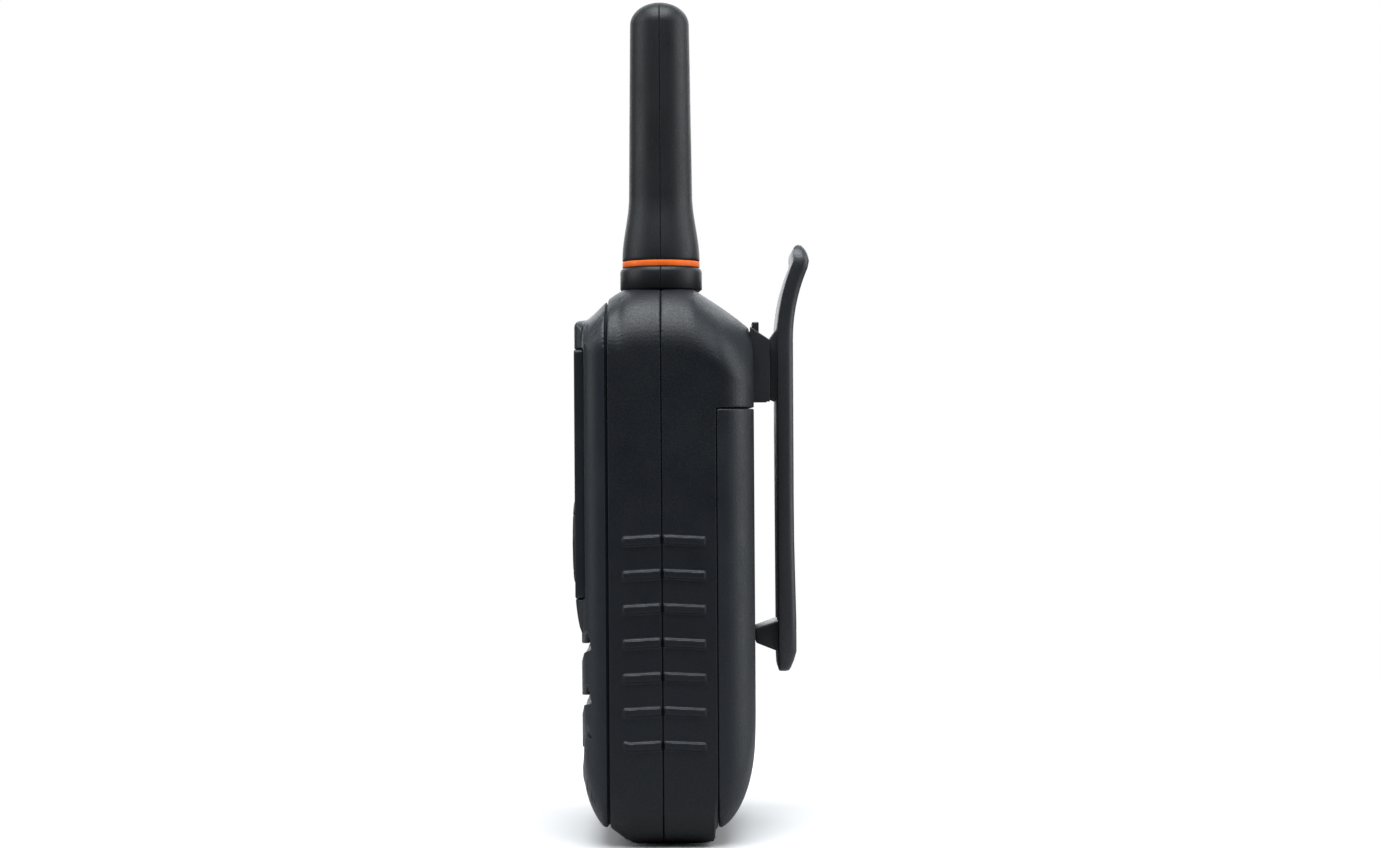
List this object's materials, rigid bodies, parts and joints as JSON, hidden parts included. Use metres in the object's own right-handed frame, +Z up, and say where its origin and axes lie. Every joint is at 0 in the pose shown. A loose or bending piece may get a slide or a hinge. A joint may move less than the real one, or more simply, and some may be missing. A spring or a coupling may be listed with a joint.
{
  "type": "handheld two-way radio",
  "caption": "Handheld two-way radio standing on its foot, with a stub antenna, ringed collar, keypad, speaker slots, sliding battery cover and a sprung belt clip.",
  "frame": {"origin": "middle of the flat foot, on the plane where the front and rear shells meet and on the body's middle plane", "axes": "+Z up along the antenna, -Y out of the display and +Y towards the belt clip, +X to the right for a person who faces the display"},
  "size_m": [0.0563, 0.0473, 0.165],
  "materials": {
    "shell_black": "matte",
    "cover_black": "matte",
    "bezel_black": "satin",
    "lens_clear": "gloss",
    "display_grey": "satin",
    "key_rubber": "matte",
    "mat_rubber": "matte",
    "board_green": "satin",
    "chip_black": "matte",
    "steel": "satin",
    "magnet_iron": "satin",
    "cone_paper": "matte",
    "mesh_cloth": "matte",
    "mic_can": "satin",
    "boot_rubber": "matte",
    "antenna_black": "matte",
    "ring_orange": "matte",
    "core_white": "matte",
    "coil_copper": "satin",
    "contact_brass": "satin",
    "jack_black": "satin",
    "cell_wrap": "satin",
    "door_black": "matte",
    "clip_black": "matte"
  },
  "bodies": {
    "radio": {"front_shell": "shell_black", "rear_shell": "shell_black", "foot_sole": "boot_rubber", "front_cover": "cover_black", "display_bezel": "bezel_black", "display_lens": "lens_clear", "lcd_module": "display_grey", "keypad_mat": "mat_rubber", "keypad_board": "board_green", "ptt_switch": "chip_black", "speaker_mesh": "mesh_cloth", "speaker_basket": "steel", "speaker_cone": "cone_paper", "speaker_magnet": "magnet_iron", "microphone": "mic_can", "microphone_boot": "boot_rubber", "antenna_front_half": "antenna_black", "antenna_rear_half": "antenna_black", "antenna_ring": "ring_orange", "antenna_core": "core_white", "antenna_coil": "coil_copper", "antenna_ferrule": "contact_brass", "antenna_contact": "contact_brass", "main_board": "board_green", "circuit_chips": "chip_black", "rf_shield": "steel", "accessory_jack": "jack_black", "battery_left": "cell_wrap", "battery_middle": "cell_wrap", "battery_right": "cell_wrap", "battery_springs": "steel", "battery_contacts": "steel", "case_screws": "steel"},
    "push_to_talk": {"ptt_button": "key_rubber"},
    "jack_flap": {"jack_cover": "boot_rubber"},
    "battery_door": {"battery_cover": "door_black"},
    "clip_foot": {"clip_base": "clip_black", "clip_pin": "steel", "clip_spring": "steel"},
    "clip_lever": {"clip_arm": "clip_black"},
    "key_menu_cap": {"key_menu": "key_rubber"},
    "key_up_cap": {"key_up": "key_rubber"},
    "key_down_cap": {"key_down": "key_rubber"},
    "key_call_cap": {"key_call": "key_rubber"},
    "key_power_cap": {"key_power": "key_rubber"}
  },
  "joints": [
    {"name": "key_menu_press", "type": "slide", "parent": "radio", "child": "key_menu_cap", "axis": [0, 1, 0], "range_m": [0, 0.0006], "stiffness_N_per_m": 900, "springref_m": -0.0003},
    {"name": "key_up_press", "type": "slide", "parent": "radio", "child": "key_up_cap", "axis": [0, 1, 0], "range_m": [0, 0.0006], "stiffness_N_per_m": 900, "springref_m": -0.0003},
    {"name": "key_down_press", "type": "slide", "parent": "radio", "child": "key_down_cap", "axis": [0, 1, 0], "range_m": [0, 0.0006], "stiffness_N_per_m": 900, "springref_m": -0.0003},
    {"name": "key_call_press", "type": "slide", "parent": "radio", "child": "key_call_cap", "axis": [0, 1, 0], "range_m": [0, 0.0006], "stiffness_N_per_m": 900, "springref_m": -0.0003},
    {"name": "key_power_press", "type": "slide", "parent": "radio", "child": "key_power_cap", "axis": [0, 1, 0], "range_m": [0, 0.0006], "stiffness_N_per_m": 900, "springref_m": -0.0003},
    {"name": "ptt_press", "type": "slide", "parent": "radio", "child": "push_to_talk", "axis": [1, 0, 0], "range_m": [0, 0.0009], "stiffness_N_per_m": 1500, "springref_m": -0.0004},
    {"name": "jack_flap_hinge", "type": "hinge", "parent": "radio", "child": "jack_flap", "pos_m": [-0.0271, 0.009, 0.0909], "axis": [0, 0, -1], "range_deg": [0, 90], "stiffness_Nm_per_rad": 0.002, "springref_deg": -5.73},
    {"name": "battery_door_slide", "type": "slide", "parent": "radio", "child": "battery_door", "axis": [0, 0, -1], "range_m": [0, 0.086]},
    {"name": "clip_foot_slide", "type": "slide", "parent": "radio", "child": "clip_foot", "axis": [0, 0, 1], "range_m": [0, 0.016]},
    {"name": "clip_lever_hinge", "type": "hinge", "parent": "clip_foot", "child": "clip_lever", "pos_m": [0, 0.02, 0.0926], "axis": [1, 0, 0], "range_deg": [0, 15], "stiffness_Nm_per_rad": 0.15, "springref_deg": -20.05}
  ]
}
